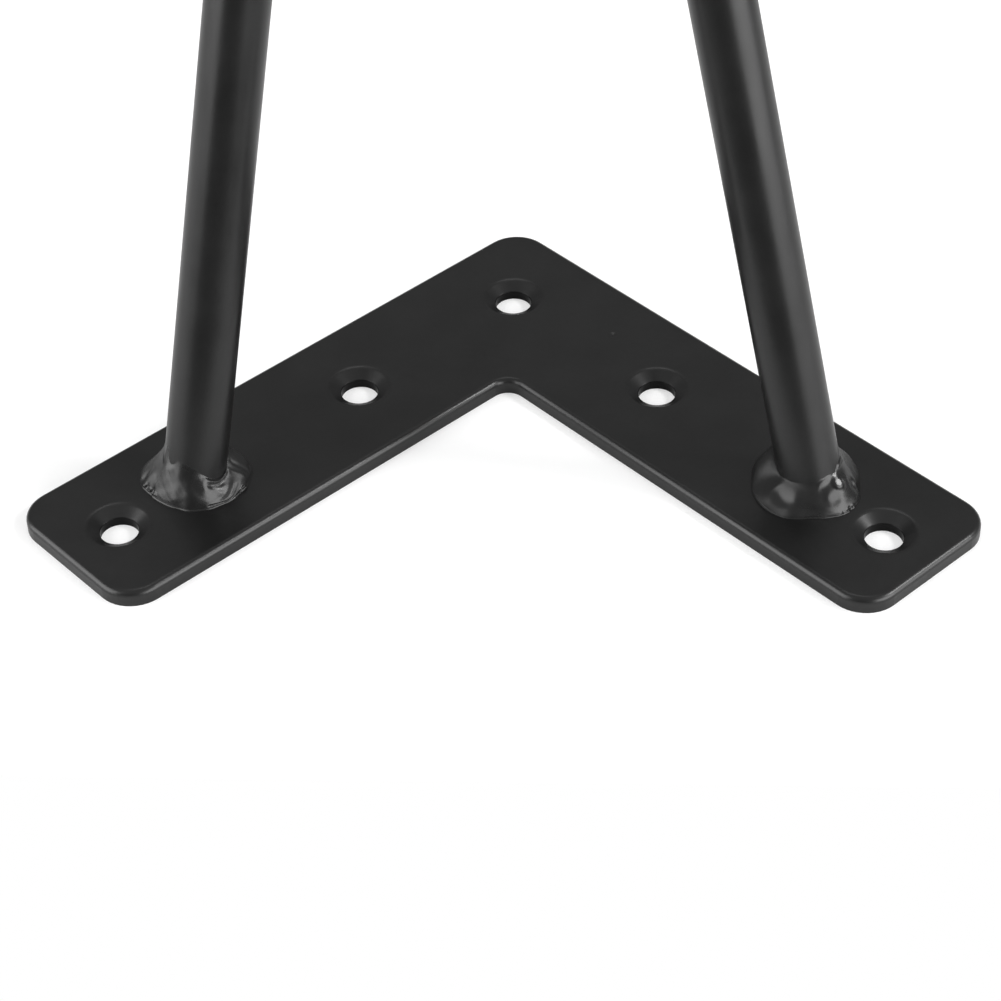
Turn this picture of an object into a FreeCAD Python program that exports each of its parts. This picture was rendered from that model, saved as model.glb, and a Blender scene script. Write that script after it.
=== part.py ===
import FreeCAD, Part
import math
import os

from FreeCAD import Vector

# Hairpin table leg: an angle-shaped steel plate with five countersunk screw holes,
# one round bar bent into a hairpin, and a weld bead round each foot of the bar.
# Millimetres. The plate lies on its mounting face at Z 0 and the bar rises along +Z,
# so in use the leg is turned over and screwed up against the corner of a table top.
# The origin is on the axis of the corner screw hole, on the mounting face.
# +Y points to the plate's outer corner. The arms run from there to -X and to +X.

# Mounting plate
arm_length = 109.0             # outer corner to the end of each arm
arm_width = 30.0
plate_thickness = 2.7
outer_corner_radius = 6.0      # at the corner of the table
end_corner_radius = 6.0        # at both corners of each arm's end
inner_corner_radius = 3.0      # where the two arms meet
edge_rounding = 1.0            # all round the top face

# Countersunk screw holes, all on one line along each arm
hole_diameter = 6.1
hole_edge_distance = 14.7      # outer edge to the line of holes
end_hole_margin = 10.2         # end hole of each arm to the arm's end
sink_diameter = 10.4
sink_depth = 1.25
sink_rim_rounding = 1.5
sink_floor_rounding = 0.25     # where the cone turns down into the hole

# Hairpin bar
bar_diameter = 10.0
leg_height = 203.0             # mounting face to the top of the bend
bend_radius = 16.0             # of the bar's centre line
foot_to_end_hole = 14.6        # each foot of the bar to the end hole, along the arm
foot_edge_distance = 15.0      # outer edge to each foot of the bar
lean_back = 14.0               # degrees, towards the outer corner
lean_aside = 1.5               # degrees, to the left in the bar's own plane, as welded

# Weld beads
bead_reach = 3.6               # out over the plate from the bar
bead_rise = 5.2                # up the bar from the plate
bead_hollow = 1.3              # 1 is a straight slope, more is a hollow one
bead_root = 0.4                # how far the bead runs on inside the bar, in reaches

# The directions of the two arms in plan, and the outer corner that they start from
left_arm = Vector(-1, -1, 0) / math.sqrt(2)
right_arm = Vector(1, -1, 0) / math.sqrt(2)
outer_corner = Vector(0, hole_edge_distance * math.sqrt(2), 0)

# Distances along each arm from the outer corner. The middle hole is half way from the
# corner hole to the foot.
end_hole_along = arm_length - end_hole_margin
foot_along = end_hole_along - foot_to_end_hole
middle_hole_along = (hole_edge_distance + foot_along) / 2

# Room round the solids for the tools that cut them
cut_margin = 1.0


def plan_point(along_left, along_right, height=0.0):
    """A point by its distances along the two arms and its height."""
    return outer_corner + left_arm * along_left + right_arm * along_right + Vector(0, 0, height)


def hole_centres():
    """The corner hole, then the middle hole and the end hole of each arm."""
    centres = [plan_point(hole_edge_distance, hole_edge_distance)]
    for along in (middle_hole_along, end_hole_along):
        centres.append(plan_point(along, hole_edge_distance))
        centres.append(plan_point(hole_edge_distance, along))
    return centres


def foot_centres():
    """Where the bar's centre line meets the plate: left foot, then right foot."""
    left = plan_point(foot_along, foot_edge_distance, plate_thickness)
    right = plan_point(foot_edge_distance, foot_along, plate_thickness)
    return left, right


# Screw hole: the shape that a drill and a countersink with a soft rim leave out of the plate

def rounded_turn(before, turn, after, radius):
    """The arc that rounds a turn in a profile, with its two ends on the sides."""
    back = (before - turn).normalize()
    onward = (after - turn).normalize()
    half_angle = back.getAngle(onward) / 2
    middle_line = (back + onward).normalize()
    start = turn + back * (radius / math.tan(half_angle))
    end = turn + onward * (radius / math.tan(half_angle))
    centre = turn + middle_line * (radius / math.sin(half_angle))
    return start, centre - middle_line * radius, end


def hole_cutter():
    """A turned solid on the Z axis: the screw's shank, the cone under its head and room above."""
    shank_radius = hole_diameter / 2
    rim = Vector(sink_diameter / 2, 0, plate_thickness)
    floor = Vector(shank_radius, 0, plate_thickness - sink_depth)
    foot = Vector(shank_radius, 0, -cut_margin)
    beyond_rim = rim + Vector(sink_diameter, 0, 0)
    floor_start, floor_middle, floor_end = rounded_turn(foot, floor, rim, sink_floor_rounding)
    rim_start, rim_middle, rim_end = rounded_turn(floor, rim, beyond_rim, sink_rim_rounding)
    top = plate_thickness + bead_rise + cut_margin
    edges = [
        Part.makeLine(Vector(0, 0, -cut_margin), foot),
        Part.makeLine(foot, floor_start),
        Part.Arc(floor_start, floor_middle, floor_end).toShape(),
        Part.makeLine(floor_end, rim_start),
        Part.Arc(rim_start, rim_middle, rim_end).toShape(),
        Part.makeLine(rim_end, Vector(rim_end.x, 0, top)),
        Part.makeLine(Vector(rim_end.x, 0, top), Vector(0, 0, top)),
        Part.makeLine(Vector(0, 0, top), Vector(0, 0, -cut_margin)),
    ]
    profile = Part.Face(Part.Wire(edges))
    return profile.revolve(Vector(0, 0, 0), Vector(0, 0, 1), 360)


def hole_cutters():
    """One cutter on the axis of each screw hole."""
    return [hole_cutter().translated(centre) for centre in hole_centres()]


# Mounting plate: cut from sheet, corners rounded, top edge softened, five holes sunk

def plate_corners():
    """The six corners of the plate's outline in order, each with its radius."""
    return [
        (plan_point(0, 0), outer_corner_radius),
        (plan_point(arm_length, 0), end_corner_radius),
        (plan_point(arm_length, arm_width), end_corner_radius),
        (plan_point(arm_width, arm_width), inner_corner_radius),
        (plan_point(arm_width, arm_length), end_corner_radius),
        (plan_point(0, arm_length), end_corner_radius),
    ]


def plate_outline():
    """The closed outline with straight sides and rounded corners."""
    corners = plate_corners()
    edges = []
    last_end = None
    for index, (corner, radius) in enumerate(corners):
        before = corners[index - 1][0]
        after = corners[(index + 1) % len(corners)][0]
        start, middle, end = rounded_turn(before, corner, after, radius)
        if last_end is not None:
            edges.append(Part.makeLine(last_end, start))
        edges.append(Part.Arc(start, middle, end).toShape())
        last_end = end
    edges.append(Part.makeLine(last_end, edges[0].firstVertex().Point))
    return Part.Wire(edges)


def mounting_plate():
    plate = Part.Face(plate_outline()).extrude(Vector(0, 0, plate_thickness))
    top_edges = [edge for edge in plate.Edges if edge.BoundBox.ZMin > plate_thickness / 2]
    plate = plate.makeFillet(edge_rounding, top_edges)
    return plate.cut(hole_cutters())


# Hairpin bar: one length of round bar, bent once and cut off flat on the plate

def bar_plane_point(centre, sideways, upwards):
    """A point in the leaning plane that holds the bar's centre line."""
    lean = math.radians(lean_back)
    return centre + Vector(sideways, upwards * math.sin(lean), upwards * math.cos(lean))


def bend_centre_place(plane_origin):
    """The middle of the bend: its distance up the leaning plane sets the leg's height."""
    centre_line_top = leg_height - plate_thickness - bar_diameter / 2
    upwards = centre_line_top / math.cos(math.radians(lean_back)) - bend_radius
    sideways = -upwards * math.tan(math.radians(lean_aside))
    return bar_plane_point(plane_origin, sideways, upwards)


def outer_tangent_point(foot, centre, side):
    """Where the straight leg from a foot runs into the bend, on the given side (-1 or 1)."""
    lean = math.radians(lean_back)
    across = Vector(1, 0, 0)
    up_plane = Vector(0, math.sin(lean), math.cos(lean))
    to_centre = centre - foot
    turn = math.asin(bend_radius / to_centre.Length)
    heading = math.atan2(to_centre.dot(across), to_centre.dot(up_plane)) + side * turn
    length = math.sqrt(to_centre.Length ** 2 - bend_radius ** 2)
    return foot + across * (length * math.sin(heading)) + up_plane * (length * math.cos(heading))


def bar_centre_line():
    """The left foot, both ends and the top of the bend, and the right foot."""
    left_foot, right_foot = foot_centres()
    centre = bend_centre_place((left_foot + right_foot) / 2)
    bend_start = outer_tangent_point(left_foot, centre, -1)
    bend_end = outer_tangent_point(right_foot, centre, 1)
    bend_top = bar_plane_point(centre, 0, bend_radius)
    return left_foot, bend_start, bend_top, bend_end, right_foot


def hairpin_bar():
    left_foot, bend_start, bend_top, bend_end, right_foot = bar_centre_line()
    left_down = (left_foot - bend_start).normalize()
    right_down = (right_foot - bend_end).normalize()
    left_end = left_foot + left_down * bar_diameter
    right_end = right_foot + right_down * bar_diameter
    path = Part.Wire([
        Part.makeLine(left_end, bend_start),
        Part.Arc(bend_start, bend_top, bend_end).toShape(),
        Part.makeLine(bend_end, right_end),
    ])
    section = Part.Wire(Part.makeCircle(bar_diameter / 2, left_end, left_down))
    bar = path.makePipeShell([section], True, True)
    return bar.cut(below_plate_top())


def below_plate_top():
    """A block that fills the space under the plate's top face."""
    half_width = arm_length + bar_diameter
    depth = 2 * bar_diameter
    corner = Vector(-half_width, -2 * half_width, plate_thickness - depth)
    return Part.makeBox(2 * half_width, 3 * half_width, depth, corner)


# Weld beads: laid by hand round each foot, so each has lumps and a rim of its own

def bead_section(foot, up_bar, height, reach_at, rise_at):
    """A closed curve round the bar: the bead's surface at one height above the plate."""
    centre = foot + up_bar * (height / up_bar.z)
    point_count = 36
    points = []
    for index in range(point_count):
        angle = 2 * math.pi * index / point_count
        left_over = 1 - height / rise_at(angle)
        slope = math.copysign(abs(left_over) ** bead_hollow, left_over)
        radius = bar_diameter / 2 + reach_at(angle) * max(slope, -bead_root)
        points.append(centre + Vector(math.cos(angle), math.sin(angle), 0) * radius)
    curve = Part.BSplineCurve()
    curve.interpolate(points, PeriodicFlag=True)
    return Part.Wire(curve.toShape())


def wavy(mean, waves):
    """A function of the angle round the bar: the mean and its waves (count, share, phase)."""

    def value_at(angle):
        swell = sum(share * math.cos(count * angle - phase) for count, share, phase in waves)
        return mean * (1 + swell)

    return value_at


def weld_bead(foot, bend_end, bar, reach_waves, rise_waves):
    """A bead lofted through seven heights, less the bar, the plate and the screws' room."""
    up_bar = (bend_end - foot).normalize()
    reach_at = wavy(bead_reach, reach_waves)
    rise_at = wavy(bead_rise, rise_waves)
    heights = [bead_rise * share for share in (-0.2, 0.0, 0.3, 0.65, 1.0, 1.35, 1.75)]
    sections = [bead_section(foot, up_bar, height, reach_at, rise_at) for height in heights]
    bead = Part.makeLoft(sections, True, False)
    return bead.cut([bar, below_plate_top()] + hole_cutters())


def weld_beads(bar):
    """The left and right beads. Both toes lie further out behind the leaning bar than in
    front; the left bead climbs highest on its outer side and the right one at its back."""
    left_foot, bend_start, bend_top, bend_end, right_foot = bar_centre_line()
    left = weld_bead(
        left_foot, bend_start, bar,
        [(1, 0.40, 1.44), (2, 0.11, -0.39), (3, 0.11, 1.83)],
        [(1, 0.33, 2.92), (2, 0.16, 1.83), (3, 0.06, 1.83)],
    )
    right = weld_bead(
        right_foot, bend_end, bar,
        [(0, 0.09, 0.0), (1, 0.38, 2.36), (4, 0.08, -3.07)],
        [(1, 0.40, 1.30), (2, 0.17, -1.49), (3, 0.12, 1.21)],
    )
    return left, right


def save(node, shape):
    shape.exportStep("parts/" + node + ".step")


os.makedirs("parts", exist_ok=True)
bar = hairpin_bar()
left_bead, right_bead = weld_beads(bar)
save("mounting_plate", mounting_plate())
save("hairpin_bar", bar)
save("weld_bead_left", left_bead)
save("weld_bead_right", right_bead)
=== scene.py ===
import math

import bpy
import numpy as np
from mathutils import Matrix, Vector


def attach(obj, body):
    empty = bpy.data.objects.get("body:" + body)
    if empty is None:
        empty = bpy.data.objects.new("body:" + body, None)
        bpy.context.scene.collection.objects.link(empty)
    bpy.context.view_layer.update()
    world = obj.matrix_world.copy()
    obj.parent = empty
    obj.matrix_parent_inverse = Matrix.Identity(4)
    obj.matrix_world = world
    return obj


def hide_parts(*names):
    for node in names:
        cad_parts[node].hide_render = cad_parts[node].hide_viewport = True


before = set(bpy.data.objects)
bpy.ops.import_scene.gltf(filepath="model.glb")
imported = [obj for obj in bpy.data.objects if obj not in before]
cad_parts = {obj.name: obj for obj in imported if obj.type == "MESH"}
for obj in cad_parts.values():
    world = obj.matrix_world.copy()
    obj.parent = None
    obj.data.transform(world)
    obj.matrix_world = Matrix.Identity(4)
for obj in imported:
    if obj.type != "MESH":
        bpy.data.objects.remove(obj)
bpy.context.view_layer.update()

# MOUNTING PLATE
# A flat right-angled plate, laser-cut from 2.7 mm steel sheet, its five screw holes
# countersunk from the bar's side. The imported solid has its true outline, soft edges and
# sinks, so it stays, and gets the satin black powder coat that the whole leg was sprayed in.

plate_thickness = 0.0027
arm_length = 0.109
hole_diameter = 0.0061
hole_edge_distance = 0.0147
end_hole_margin = 0.0102
foot_to_end_hole = 0.0146
end_hole_along = arm_length - end_hole_margin
foot_along = end_hole_along - foot_to_end_hole
middle_hole_along = (hole_edge_distance + foot_along) / 2
outer_corner = np.array([0.0, hole_edge_distance * math.sqrt(2), 0.0])
left_arm = np.array([-1.0, -1.0, 0.0]) / math.sqrt(2)
right_arm = np.array([1.0, -1.0, 0.0]) / math.sqrt(2)
coat_index = 1.45
coat_gloss = 0.5
# Painted shade in the bores: the coat's specular level drops to this inside each bore, a margin
# past its wall, and rises back over the fade.
bore_shade_level = 0.1
bore_shade_margin = 0.00005
bore_shade_fade = 0.0001
black_low, black_high = 0.0035, 0.0055
grain_share = 0.003
patch_size = 1 / 120
noise_low, noise_high = 0.3, 0.7
pit_place = (0.0172, -0.0106, plate_thickness)
pit_radius = 0.0009
pit_depth = 50.0


def spread(coat, value, low, high, new_low, new_high):
    """A value of the coat's nodes stretched so that low to high becomes new_low to new_high."""
    stretch = coat.node_tree.nodes.new("ShaderNodeMapRange")
    stretch.inputs["From Min"].default_value = low
    stretch.inputs["From Max"].default_value = high
    stretch.inputs["To Min"].default_value = new_low
    stretch.inputs["To Max"].default_value = new_high
    coat.node_tree.links.new(value, stretch.inputs["Value"])
    return stretch


def add_to(coat, node, socket, extra, clamp=False):
    """Add the extra value to what already feeds a socket of one of the coat's nodes."""
    nodes, links = coat.node_tree.nodes, coat.node_tree.links
    fed = nodes[node].inputs[socket]
    total = nodes.new("ShaderNodeMath")
    total.use_clamp = clamp
    links.new(fed.links[0].from_socket, total.inputs[0])
    links.new(extra, total.inputs[1])
    links.new(total.outputs[0], fed)


def powder_coat(name, peel_size, peel_depth, gloss_low, gloss_high):
    """Satin black powder: orange peel from a noise as bump, and roughness and black that
    drift in soft patches, the black with a fine grain = drift + grain share x peel."""
    coat = bpy.data.materials.new(name)
    coat.use_nodes = True
    nodes, links = coat.node_tree.nodes, coat.node_tree.links
    shader = nodes["Principled BSDF"]
    shader.inputs["IOR"].default_value = coat_index
    place = nodes.new("ShaderNodeTexCoord")
    peel = nodes.new("ShaderNodeTexNoise")
    peel.inputs["Scale"].default_value = 1 / peel_size
    peel.inputs["Detail"].default_value = 3.0
    links.new(place.outputs["Object"], peel.inputs["Vector"])
    bump = nodes.new("ShaderNodeBump")
    bump.inputs["Distance"].default_value = peel_depth
    bump.inputs["Strength"].default_value = 1.0
    links.new(peel.outputs["Fac"], bump.inputs["Height"])
    links.new(bump.outputs["Normal"], shader.inputs["Normal"])
    patches = nodes.new("ShaderNodeTexNoise")
    patches.inputs["Scale"].default_value = 1 / patch_size
    patches.inputs["Detail"].default_value = 4.0
    links.new(place.outputs["Object"], patches.inputs["Vector"])
    patch = patches.outputs["Fac"]
    gloss = spread(coat, patch, noise_low, noise_high, gloss_low, gloss_high)
    links.new(gloss.outputs["Result"], shader.inputs["Roughness"])
    drift = spread(coat, patch, noise_low, noise_high, black_low, black_high)
    grain = nodes.new("ShaderNodeMath")
    grain.operation = "MULTIPLY_ADD"
    grain.inputs[1].default_value = grain_share
    links.new(peel.outputs["Fac"], grain.inputs[0])
    links.new(drift.outputs["Result"], grain.inputs[2])
    links.new(grain.outputs[0], shader.inputs["Base Color"])
    return coat


def shade_bores(coat, holes, radius):
    """Painted shade on the bore walls: inside the radius round each hole's axis the coat's
    specular level is lowered, which darkens the walls in place of the shade under the plate."""
    nodes, links = coat.node_tree.nodes, coat.node_tree.links
    place = nodes.new("ShaderNodeTexCoord")
    flat = nodes.new("ShaderNodeVectorMath")
    flat.operation = "MULTIPLY"
    flat.inputs[1].default_value = (1.0, 1.0, 0.0)
    links.new(place.outputs["Object"], flat.inputs[0])
    nearest = None
    for hole in holes:
        gap = nodes.new("ShaderNodeVectorMath")
        gap.operation = "DISTANCE"
        gap.inputs[1].default_value = (hole[0], hole[1], 0.0)
        links.new(flat.outputs["Vector"], gap.inputs[0])
        if nearest is None:
            nearest = gap.outputs["Value"]
            continue
        lower = nodes.new("ShaderNodeMath")
        lower.operation = "MINIMUM"
        links.new(nearest, lower.inputs[0])
        links.new(gap.outputs["Value"], lower.inputs[1])
        nearest = lower.outputs[0]
    fade = spread(coat, nearest, radius, radius + bore_shade_fade, bore_shade_level, coat_gloss)
    links.new(fade.outputs["Result"], nodes["Principled BSDF"].inputs["Specular IOR Level"])


def pit(coat, place, radius, depth):
    """A speck that fell out of the wet powder: inside the radius the coat's bump sinks along
    a smooth step from the depth, in peel depths, to nothing at the rim."""
    nodes, links = coat.node_tree.nodes, coat.node_tree.links
    texture = nodes.new("ShaderNodeTexCoord")
    gap = nodes.new("ShaderNodeVectorMath")
    gap.operation = "DISTANCE"
    gap.inputs[1].default_value = place
    links.new(texture.outputs["Object"], gap.inputs[0])
    sink = spread(coat, gap.outputs["Value"], 0.0, radius, -depth, 0.0)
    sink.interpolation_type = "SMOOTHSTEP"
    add_to(coat, "Bump", "Height", sink.outputs["Result"])


plate_coat = powder_coat("plate_powder_coat", 0.0009, 0.000004, 0.29, 0.35)
pit(plate_coat, pit_place, pit_radius, pit_depth)
hole_places = [np.zeros(3)]
for along, off in ((left_arm, right_arm), (right_arm, left_arm)):
    for distance in (middle_hole_along, end_hole_along):
        hole_places.append(outer_corner + along * distance + off * hole_edge_distance)
# Painted shade: the bore walls are darkened by a lowered specular level.
shade_bores(plate_coat, hole_places, hole_diameter / 2 + bore_shade_margin)
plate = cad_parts["mounting_plate"]
plate.data.materials.clear()
plate.data.materials.append(plate_coat)

# HAIRPIN BAR
# One length of 10 mm round steel bar, bent once round a 16 mm former into a hairpin and
# cut off flat on the plate. It leans back over the plate's corner and slightly aside.

bar_radius = 0.005
leg_height = 0.203
bend_radius = 0.016
foot_edge_distance = 0.015
lean_back = math.radians(14.0)
lean_aside = math.radians(1.5)
leg_rings = 60
bend_rings = 60
bar_sides = 96
across_bar = np.array([1.0, 0.0, 0.0])
up_bar = np.array([0.0, math.sin(lean_back), math.cos(lean_back)])


def foot_on_plate(side):
    """The centre of the left (-1) or right (1) foot on the plate's top face."""
    along, off = (left_arm, right_arm) if side < 0 else (right_arm, left_arm)
    foot = outer_corner + along * foot_along + off * foot_edge_distance
    return foot + np.array([0.0, 0.0, plate_thickness])


feet = {side: foot_on_plate(side) for side in (-1, 1)}
bend_rise = (leg_height - plate_thickness - bar_radius) / math.cos(lean_back) - bend_radius
bend_centre = (feet[-1] + feet[1]) / 2 + up_bar * bend_rise
bend_centre = bend_centre - across_bar * bend_rise * math.tan(lean_aside)


def leg_direction(side):
    """The unit vector up a straight leg, which runs from its foot tangent to the bend, and
    the length of that leg: the tangent's angle is the centre's angle plus asin(r / distance)."""
    to_centre = bend_centre - feet[side]
    distance = np.linalg.norm(to_centre)
    heading = math.atan2(to_centre @ across_bar, to_centre @ up_bar)
    heading = heading + side * math.asin(bend_radius / distance)
    length = math.sqrt(distance ** 2 - bend_radius ** 2)
    return across_bar * math.sin(heading) + up_bar * math.cos(heading), length


def closed_tube(name, rings):
    """A mesh from an array of rings (ring, point, xyz) with both end rings capped."""
    count, sides, _ = rings.shape
    ring, point = np.meshgrid(np.arange(count - 1), np.arange(sides), indexing="ij")
    onward = (point + 1) % sides
    quads = np.stack([
        ring * sides + point, ring * sides + onward,
        (ring + 1) * sides + onward, (ring + 1) * sides + point,
    ], axis=-1).reshape(-1, 4)
    start_cap = np.arange(sides)[::-1]
    end_cap = (count - 1) * sides + np.arange(sides)
    faces = quads.tolist() + [start_cap.tolist(), end_cap.tolist()]
    mesh = bpy.data.meshes.new(name)
    mesh.from_pydata(rings.reshape(-1, 3).tolist(), [], faces)
    mesh.shade_smooth()
    mesh.update()
    tube = bpy.data.objects.new(name, mesh)
    bpy.context.scene.collection.objects.link(tube)
    return tube


def bar_surface():
    """Rings of points carried along the centre line: straight leg, half-turn, straight leg.
    A ring's points are centre + radius x (outward x cos(turn) + plane normal x sin(turn)).
    The end rings are sheared so that the bar ends flat on the plate."""
    left_up, left_length = leg_direction(-1)
    right_up, right_length = leg_direction(1)
    plane_normal = np.cross(across_bar, up_bar)
    leg_steps = np.linspace(0, 1, leg_rings)
    left_line = feet[-1] + left_up * left_length * leg_steps[:, None]
    right_line = feet[1] + right_up * right_length * leg_steps[::-1, None]
    left_out = np.cross(plane_normal, left_up)
    right_out = np.cross(plane_normal, -right_up)
    angle_left = math.atan2(left_out @ across_bar, left_out @ up_bar)
    angle_right = math.atan2(right_out @ across_bar, right_out @ up_bar)
    angles = np.linspace(angle_left, angle_right, bend_rings + 2)[1:-1, None]
    bend_out = across_bar * np.sin(angles) + up_bar * np.cos(angles)
    bend_line = bend_centre + bend_out * bend_radius
    line = np.concatenate([left_line, bend_line, right_line])
    outward = np.concatenate([
        np.repeat(left_out[None], leg_rings, axis=0), bend_out,
        np.repeat(right_out[None], leg_rings, axis=0),
    ])
    turn = np.linspace(0, 2 * np.pi, bar_sides, endpoint=False)[None, :, None]
    round_bar = outward[:, None, :] * np.cos(turn) + plane_normal * np.sin(turn)
    rings = line[:, None, :] + round_bar * bar_radius
    for end, direction in ((0, left_up), (-1, right_up)):
        above = rings[end, :, 2] - plate_thickness
        rings[end] = rings[end] - above[:, None] * direction / direction[2]
    return rings


bar = closed_tube("powder_coated_bar", bar_surface())
bar.data.materials.append(powder_coat("bar_powder_coat", 0.0006, 0.000006, 0.30, 0.38))
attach(bar, "root")
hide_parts("hairpin_bar")

# WELD BEADS
# A hand-laid fillet of weld metal closes each foot of the bar to the plate: a hollow skirt
# with a rounded toe, lumps and seams where the arc stopped and started, flats where it was
# dragged, and a thicker, glossier coat that is dull in places.

mm = 0.001
bead_bed = 0.1 * mm
bead_root = 0.01 * mm
bead_core = 1.5 * mm
bead_turns = 600
bead_drops = 120
toe_steps = 10
skirt_turn = 8.0
skirt_drop = 4.0
seam_fade = 0.2
crowding = 0.6
around = np.linspace(-np.pi, np.pi, bead_turns, endpoint=False)[:, None]
down = np.linspace(0.0, 1.0, bead_drops)[None, :]


def waves(mean, terms):
    """The mean plus, for each term, size x cos(count x angle round the foot - phase)."""
    return mean + sum(size * np.cos(count * around - phase) for count, size, phase in terms)


def lumps(spots):
    """The sum of one bell for each spot: size x exp(-(turn / width)^2 - (drop / height)^2),
    where turn is the angle from the spot and drop the share of the skirt below it."""
    swell = np.zeros((bead_turns, bead_drops))
    for angle, place, size, width, height in spots:
        turn = (np.degrees(around) - angle + 180.0) % 360.0 - 180.0
        swell = swell + size * np.exp(-(turn / width) ** 2 - ((down - place) / height) ** 2)
    return swell


def creases(lines):
    """The sum of one seam for each line: size x exp(-(distance / width)^2), the distance in mm
    from a straight line between two places on the skirt laid flat, 8 mm to the radian round
    it and 4 mm down it. Both ends of a seam fade out over a fifth of its length."""
    swell = np.zeros((bead_turns, bead_drops))
    for angle, place, end_angle, end_place, size, width in lines:
        turn, drop = skirt_turn * (around - np.radians(angle)), skirt_drop * (down - place)
        far_turn = skirt_turn * np.radians(end_angle - angle)
        far_drop = skirt_drop * (end_place - place)
        along = (turn * far_turn + drop * far_drop) / (far_turn ** 2 + far_drop ** 2)
        along = np.clip(along, 0.0, 1.0)
        gap = (turn - along * far_turn) ** 2 + (drop - along * far_drop) ** 2
        fade = np.clip(along / seam_fade, 0.0, 1.0)
        fade = fade * np.clip((1.0 - along) / seam_fade, 0.0, 1.0)
        swell = swell + size * fade * np.exp(-gap / width ** 2)
    return swell


def ripples(seed):
    """The uneven skin of hand-laid metal: cosines slanted across the skirt, from 8 mm to 2 mm
    long, that die out where the bead runs onto the bar."""
    slant = np.pi * down
    skin = (
        0.030 * np.cos(5 * around + 3 * slant + seed)
        + 0.010 * np.cos(9 * around - 5 * slant + 2.3 * seed)
        + 0.005 * np.cos(14 * around + 8 * slant + 4.1 * seed)
        + 0.002 * np.cos(25 * around - 13 * slant + 5.7 * seed))
    return skin * np.clip(down * 4 - 0.3, 0.0, 1.0)


def flatten(skin, facets):
    """Press each facet flat: points move along its normal towards the plane through the
    facet's middle by share x gap x exp(-(distance / width)^4). The normal is given as a
    heading round the foot and a height above the horizon."""
    for angle, place, heading, height, width, share in facets:
        turn = np.argmin(np.abs(np.degrees(around[:, 0]) - angle))
        middle = skin[turn, int(place * (bead_drops - 1))]
        heading, height = np.radians(heading), np.radians(height)
        normal = np.array([
            np.cos(height) * np.sin(heading), -np.cos(height) * np.cos(heading), np.sin(height)])
        gap = (skin - middle) @ normal
        distance = np.linalg.norm(skin - middle, axis=-1)
        press = share * gap * np.exp(-(distance / (width * mm)) ** 4)
        skin = skin - press[..., None] * normal
    return skin


def bead_skirt(side, reach, rise, merge, plunge, toe, swell, facets):
    """The bead's outer skin. For each angle round the foot it leaves the bar at the rise as
    out = width x sin(q)^merge while height = rise x cos(q)^plunge, where q is a right angle x
    down^crowding, so a large merge runs off the bar smoothly and a small plunge falls steeply
    to the toe. A quarter-round toe follows, and the skin is pushed along its own normal by
    the swell."""
    leg, _ = leg_direction(side)
    outward = np.stack([np.sin(around), -np.cos(around), np.zeros_like(around)], axis=-1)
    bar_edge = bar_radius / np.sqrt(1.0 - (outward @ leg) ** 2)
    width = reach - bar_edge
    quarter = down ** crowding * np.pi / 2
    out = (width - toe + bead_root) * np.sin(quarter) ** merge - bead_root
    height = toe + (rise - toe) * np.cos(quarter) ** plunge
    centre = feet[side] + height[..., None] * leg / leg[2]
    skin = centre + outward * (bar_edge + out)[..., None]
    along_turn = np.roll(skin, -1, axis=0) - np.roll(skin, 1, axis=0)
    along_drop = np.gradient(skin, axis=1)
    normal = np.cross(along_drop, along_turn)
    normal = normal / np.linalg.norm(normal, axis=-1, keepdims=True)
    skin = flatten(skin + normal * swell[..., None], facets)
    roll = np.linspace(0.1, 1.0, toe_steps)[None, :] * np.pi / 2
    lip = skin[:, -1:, :] + outward * (toe * np.sin(roll))[..., None]
    lip[..., 2] = plate_thickness - bead_bed + (
        (skin[:, -1:, 2] - plate_thickness + bead_bed) * np.cos(roll))
    under = feet[side] + outward * (bar_edge - bead_core)[..., None]
    under[..., 2] = plate_thickness - bead_bed
    above = skin[:, :1, :] - outward * bead_core
    return np.concatenate([skin, lip, under, above], axis=1)


def closed_ring(name, skin, dull):
    """A mesh from an array (turn, profile, xyz) that closes both ways, like a ring, with the
    dullness of the coat kept at each point; past the skirt the toe's own value runs on."""
    turns, steps, _ = skin.shape
    turn, step = np.meshgrid(np.arange(turns), np.arange(steps), indexing="ij")
    next_turn, next_step = (turn + 1) % turns, (step + 1) % steps
    quads = np.stack([
        turn * steps + step, turn * steps + next_step,
        next_turn * steps + next_step, next_turn * steps + step,
    ], axis=-1).reshape(-1, 4)
    mesh = bpy.data.meshes.new(name)
    mesh.from_pydata(skin.reshape(-1, 3).tolist(), [], quads.tolist())
    mesh.shade_smooth()
    dull = np.pad(dull, ((0, 0), (0, steps - dull.shape[1])), mode="edge")
    mesh.attributes.new("dull", "FLOAT", "POINT").data.foreach_set("value", dull.ravel())
    mesh.update()
    ring = bpy.data.objects.new(name, mesh)
    bpy.context.scene.collection.objects.link(ring)
    return ring


weld_coat = powder_coat("weld_powder_coat", 0.0006, 0.000005, 0.22, 0.30)
dullness = weld_coat.node_tree.nodes.new("ShaderNodeAttribute")
dullness.attribute_name = "dull"
add_to(weld_coat, "Principled BSDF", "Roughness", dullness.outputs["Fac"], clamp=True)

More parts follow.
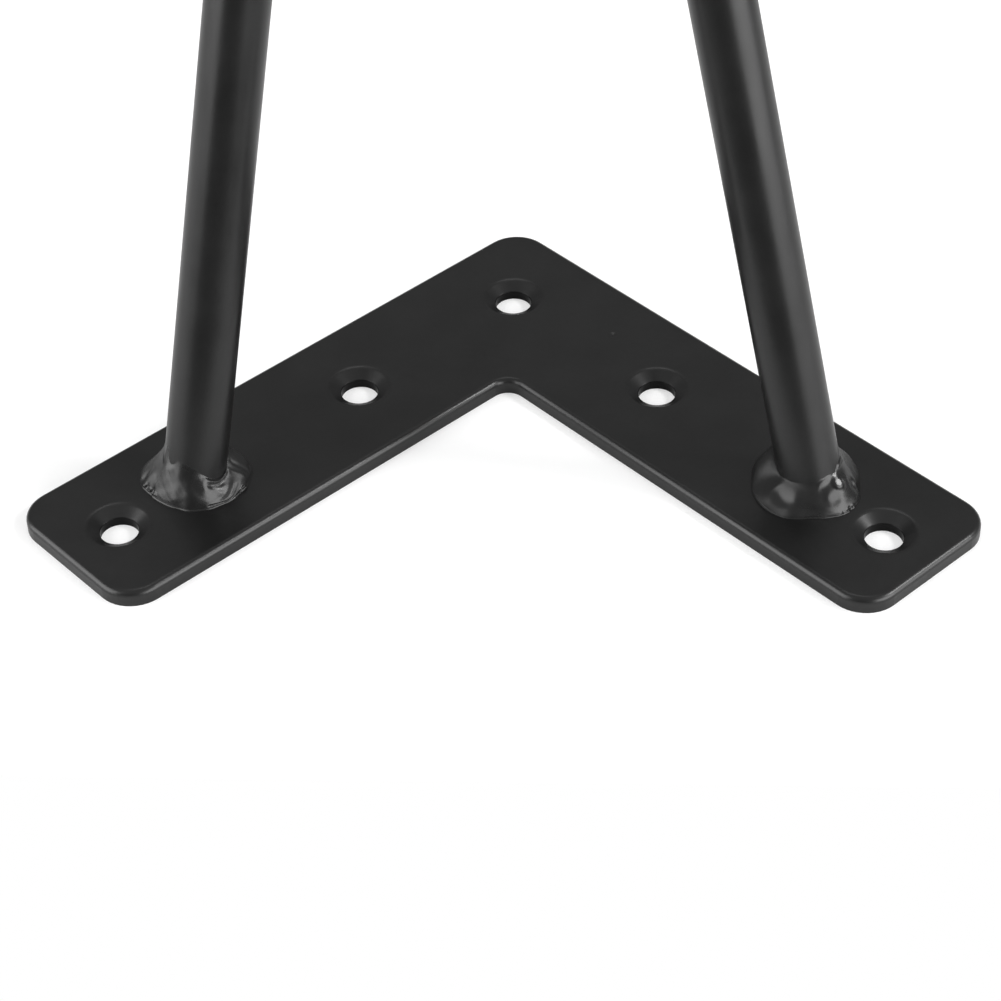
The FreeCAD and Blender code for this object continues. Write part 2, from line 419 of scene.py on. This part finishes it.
# Each spot: its angle in degrees (0 to the front, 90 to the right), its share down the
# skirt, its swell in mm, and its width in degrees and height in shares.
left_spots = [
    (80.0, 0.84, 0.36, 4.5, 0.10), (75.0, 0.90, -0.20, 3.0, 0.06),
    (84.0, 0.94, 0.18, 3.0, 0.06), (-58.0, 0.92, 0.22, 3.0, 0.07),
    (-64.0, 0.86, -0.18, 2.2, 0.10), (-69.0, 0.92, 0.28, 2.6, 0.06),
    (-75.0, 0.86, -0.18, 2.0, 0.08), (-80.0, 0.90, 0.26, 3.0, 0.07),
    (-88.0, 0.75, -0.28, 5.0, 0.18), (-104.0, 0.50, 0.20, 9.0, 0.20),
    (122.0, 0.55, 0.25, 9.0, 0.14), (110.0, 0.75, -0.25, 5.0, 0.10),
    (84.0, 0.50, 0.35, 20.0, 0.40),
]
right_spots = [
    (48.0, 0.06, -0.16, 6.0, 0.05), (47.0, 0.32, 0.45, 9.0, 0.14),
    (36.0, 0.95, 0.14, 2.4, 0.06), (42.0, 0.97, 0.24, 2.6, 0.06),
    (47.0, 0.92, -0.14, 2.0, 0.06), (52.0, 0.96, 0.22, 2.6, 0.06),
    (80.0, 0.60, 0.20, 5.0, 0.10), (71.0, 0.55, -0.18, 4.0, 0.14),
    (-110.0, 0.50, 0.12, 12.0, 0.20), (120.0, 0.45, 0.20, 9.0, 0.15),
    (100.0, 0.50, -0.20, 6.0, 0.25), (0.0, 0.72, -0.12, 18.0, 0.16),
]

# Each line: the angle and the share of its two ends, its swell and its width in mm.
left_lines = [
    (18.0, 0.14, 86.0, 0.06, 0.18, 0.24), (20.0, 0.28, 62.0, 0.20, -0.10, 0.30),
    (80.0, 0.08, 92.0, 0.65, 0.14, 0.40), (95.0, 0.05, 103.0, 0.75, -0.14, 0.42),
    (76.0, 0.36, 42.0, 0.90, 0.04, 0.24), (69.0, 0.30, 34.0, 0.84, -0.03, 0.24),
    (84.0, 0.46, 52.0, 0.96, -0.04, 0.26), (24.0, 0.90, 50.0, 0.90, -0.10, 0.26),
]
right_lines = [
    (10.0, 0.18, 38.0, 0.07, 0.05, 0.20), (12.0, 0.28, 36.0, 0.18, -0.03, 0.24),
    (58.0, 0.06, 90.0, 0.12, 0.16, 0.22), (-70.0, 0.30, -84.0, 0.85, -0.05, 0.70),
]

# Each facet: its angle and share, its normal's heading and height in degrees, its width in
# mm, and how far it is pressed, where 1 is flat.
left_facets = [(-52.0, 0.16, -8.0, 24.0, 1.5, 0.60), (14.0, 0.34, 8.0, 34.0, 1.5, 0.60)]
right_facets = [
    (31.0, 0.47, 30.0, 38.0, 1.3, 0.75), (45.0, 0.29, 40.0, 54.0, 0.9, 1.0),
    (-70.0, 0.52, -84.0, 56.0, 3.3, 0.90), (-39.0, 0.35, -38.0, 42.0, 2.2, 0.90),
]

# Each dull patch of the coat: as a spot, with the roughness that it adds in the swell's place.
left_dull = [
    (-105.0, 0.40, 0.22, 30.0, 0.60), (115.0, 0.50, 0.25, 22.0, 0.60),
    (88.0, 0.35, 0.14, 14.0, 0.40), (66.0, 0.40, 0.13, 24.0, 0.45),
]
right_dull = [
    (-100.0, 0.35, 0.26, 30.0, 0.50), (-30.0, 0.10, 0.25, 30.0, 0.22),
    (-52.0, 0.88, 0.45, 24.0, 0.26), (115.0, 0.50, 0.22, 25.0, 0.60),
]

# Lengths in mm; reach, rise and toe, and the merge and plunge, change round the foot.
beads = {
    "weld_bead_left": {
        "side": -1,
        "reach": waves(8.40, [
            (1, 1.43, 3.01), (2, 0.40, 2.75), (3, 0.40, 0.26), (7, 0.08, 1.0), (13, 0.04, 0.4)]),
        "rise": waves(6.10, [(1, 2.20, -1.79), (2, 0.90, -1.31), (3, 0.32, 0.26)]),
        "merge": waves(3.7, [(1, 1.2, -2.0)]),
        "plunge": waves(1.5, [(1, 0.3, 3.1)]),
        "toe": waves(0.20, [(1, 0.08, -0.4), (5, 0.04, 1.2)]),
        "swell": lumps(left_spots) + creases(left_lines) + ripples(1.0),
        "facets": left_facets,
        "dull": lumps(left_dull),
    },
    "weld_bead_right": {
        "side": 1,
        "reach": waves(8.90, [
            (1, 1.36, -2.35), (2, 0.14, 1.52), (4, 0.30, -3.07), (7, 0.07, 2.4), (12, 0.04, 1.1)]),
        "rise": waves(5.80, [(1, 1.50, 2.87), (2, 0.60, 1.65), (3, 0.30, -0.36)]),
        "merge": waves(3.4, [(1, 0.5, -0.9)]),
        "plunge": waves(1.4, [(1, 0.2, 3.1)]),
        "toe": waves(0.15, [(1, 0.05, 0.3), (5, 0.03, 0.2)]),
        "swell": lumps(right_spots) + creases(right_lines) + ripples(4.0),
        "facets": right_facets,
        "dull": lumps(right_dull),
    },
}
for node, shape in beads.items():
    skin = bead_skirt(
        shape["side"], shape["reach"] * mm, shape["rise"] * mm, shape["merge"], shape["plunge"],
        shape["toe"] * mm, shape["swell"] * mm, shape["facets"])
    bead = closed_ring(node + "_laid", skin, shape["dull"])
    bead.data.materials.append(weld_coat)
    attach(bead, "root")
    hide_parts(node)

# FLOOR AND BACKDROP
# A sheet of plain white paper that the leg stands on, a hair below the plate. The camera and
# the coat's gloss see it a little brighter than it is lit, which leaves it white and keeps
# the soft shadow under the leg.

paper_half_width = 0.5
paper_front, paper_back = -0.11, 0.25
paper_drop = 0.00005
paper_white = (0.6, 0.6, 0.6, 1.0)
glow_for_camera = 0.42
glow_for_gloss = 0.24
paper_mesh = bpy.data.meshes.new("floor")
paper_mesh.from_pydata([
    (-paper_half_width, paper_front, -paper_drop), (paper_half_width, paper_front, -paper_drop),
    (paper_half_width, paper_back, -paper_drop), (-paper_half_width, paper_back, -paper_drop),
], [], [(0, 1, 2, 3)])
floor = bpy.data.objects.new("floor", paper_mesh)
bpy.context.scene.collection.objects.link(floor)
paper = bpy.data.materials.new("white_paper")
paper.use_nodes = True
nodes, links = paper.node_tree.nodes, paper.node_tree.links
nodes["Principled BSDF"].inputs["Base Color"].default_value = paper_white
nodes["Principled BSDF"].inputs["Roughness"].default_value = 0.9
nodes["Principled BSDF"].inputs["Specular IOR Level"].default_value = 0.0
glow = nodes.new("ShaderNodeEmission")
both = nodes.new("ShaderNodeAddShader")
paths = nodes.new("ShaderNodeLightPath")
gloss_part = nodes.new("ShaderNodeMath")
gloss_part.operation = "MULTIPLY"
gloss_part.inputs[1].default_value = glow_for_gloss
links.new(paths.outputs["Is Glossy Ray"], gloss_part.inputs[0])
strength = nodes.new("ShaderNodeMath")
strength.operation = "MULTIPLY_ADD"
strength.inputs[1].default_value = glow_for_camera
links.new(paths.outputs["Is Camera Ray"], strength.inputs[0])
links.new(gloss_part.outputs[0], strength.inputs[2])
links.new(strength.outputs[0], glow.inputs["Strength"])
links.new(nodes["Principled BSDF"].outputs[0], both.inputs[0])
links.new(glow.outputs[0], both.inputs[1])
links.new(both.outputs[0], nodes["Material Output"].inputs["Surface"])
paper_mesh.materials.append(paper)

# STUDIO LIGHT
# A grey room that grows brighter towards its ceiling, and is white where the camera looks
# past the leg. A large soft box to each side draws the long highlights down the bar, a small
# strong lamp makes the white spot on the right bead, and a weak one stands above the back.

room_grey = 0.22
ceiling_gain = 0.36
world = bpy.data.worlds.new("studio")
bpy.context.scene.world = world
world.use_nodes = True
nodes, links = world.node_tree.nodes, world.node_tree.links
room = nodes["Background"]
way = nodes.new("ShaderNodeTexCoord")
split = nodes.new("ShaderNodeSeparateXYZ")
square = nodes.new("ShaderNodeMath")
square.operation = "MULTIPLY"
shade = nodes.new("ShaderNodeMath")
shade.operation = "MULTIPLY_ADD"
shade.inputs[1].default_value = ceiling_gain
shade.inputs[2].default_value = room_grey
links.new(way.outputs["Generated"], split.inputs[0])
links.new(split.outputs["Z"], square.inputs[0])
links.new(split.outputs["Z"], square.inputs[1])
links.new(square.outputs[0], shade.inputs[0])
links.new(shade.outputs[0], room.inputs["Color"])
white = nodes.new("ShaderNodeBackground")
white.inputs["Color"].default_value = (1.0, 1.0, 1.0, 1.0)
paths = nodes.new("ShaderNodeLightPath")
choose = nodes.new("ShaderNodeMixShader")
links.new(paths.outputs["Is Camera Ray"], choose.inputs["Fac"])
links.new(room.outputs[0], choose.inputs[1])
links.new(white.outputs[0], choose.inputs[2])
links.new(choose.outputs[0], nodes["World Output"].inputs["Surface"])


def soft_box(name, centre, aim, width, height, radiance):
    """An area light of even brightness: power = radiance x area x pi."""
    lamp = bpy.data.lights.new(name, "AREA")
    lamp.shape = "RECTANGLE"
    lamp.size, lamp.size_y = width, height
    lamp.energy = radiance * width * height * math.pi
    box = bpy.data.objects.new(name, lamp)
    bpy.context.scene.collection.objects.link(box)
    box.location = centre
    direction = np.array(aim) - np.array(centre)
    box.rotation_euler = Vector(direction).to_track_quat("-Z", "Y").to_euler()
    box.visible_camera = False


soft_box("left_box", (-0.96, -0.31, 0.56), (0.0, -0.04, 0.56), 1.1, 1.1, 4.4)
soft_box("right_box", (0.95, -0.6, 0.39), (0.0, -0.04, 0.39), 1.15, 0.8, 5.8)
soft_box("key_lamp", (0.81, -0.05, 0.73), (0.0, -0.04, 0.0), 0.18, 0.18, 44.0)
soft_box("top_box", (-0.02, 0.36, 0.93), (0.0, -0.04, 0.0), 0.3, 0.12, 5.0)

# CAMERA
# A long lens, nearly square on, that looks down at the plate from 0.42 m. Its focal length
# is given in pixels of the square picture, and turned into mm on a 36 mm wide sensor.

picture_pixels = 1001
focal_pixels = 2665.5
camera_azimuth = math.radians(3.709)
camera_elevation = math.radians(41.256)
camera_roll = math.radians(-2.029)
camera_distance = 0.4222
camera_target = np.array([-0.0002, -0.04996, 0.0])
level = np.array([math.cos(camera_azimuth), math.sin(camera_azimuth), 0.0])
back = np.array([
    math.sin(camera_azimuth) * math.cos(camera_elevation),
    -math.cos(camera_azimuth) * math.cos(camera_elevation),
    math.sin(camera_elevation),
])
upright = np.cross(back, level)
right = level * math.cos(camera_roll) + upright * math.sin(camera_roll)
up = upright * math.cos(camera_roll) - level * math.sin(camera_roll)
place = np.eye(4)
place[:3, 0], place[:3, 1], place[:3, 2] = right, up, back
place[:3, 3] = camera_target + back * camera_distance
camera = bpy.data.cameras.new("camera")
camera.sensor_width = 36.0
camera.lens = focal_pixels / picture_pixels * camera.sensor_width
camera.clip_start, camera.clip_end = 0.01, 20.0
viewer = bpy.data.objects.new("camera", camera)
bpy.context.scene.collection.objects.link(viewer)
viewer.matrix_world = Matrix(place.tolist())
bpy.context.scene.camera = viewer

bpy.context.scene.view_settings.view_transform = "Standard"
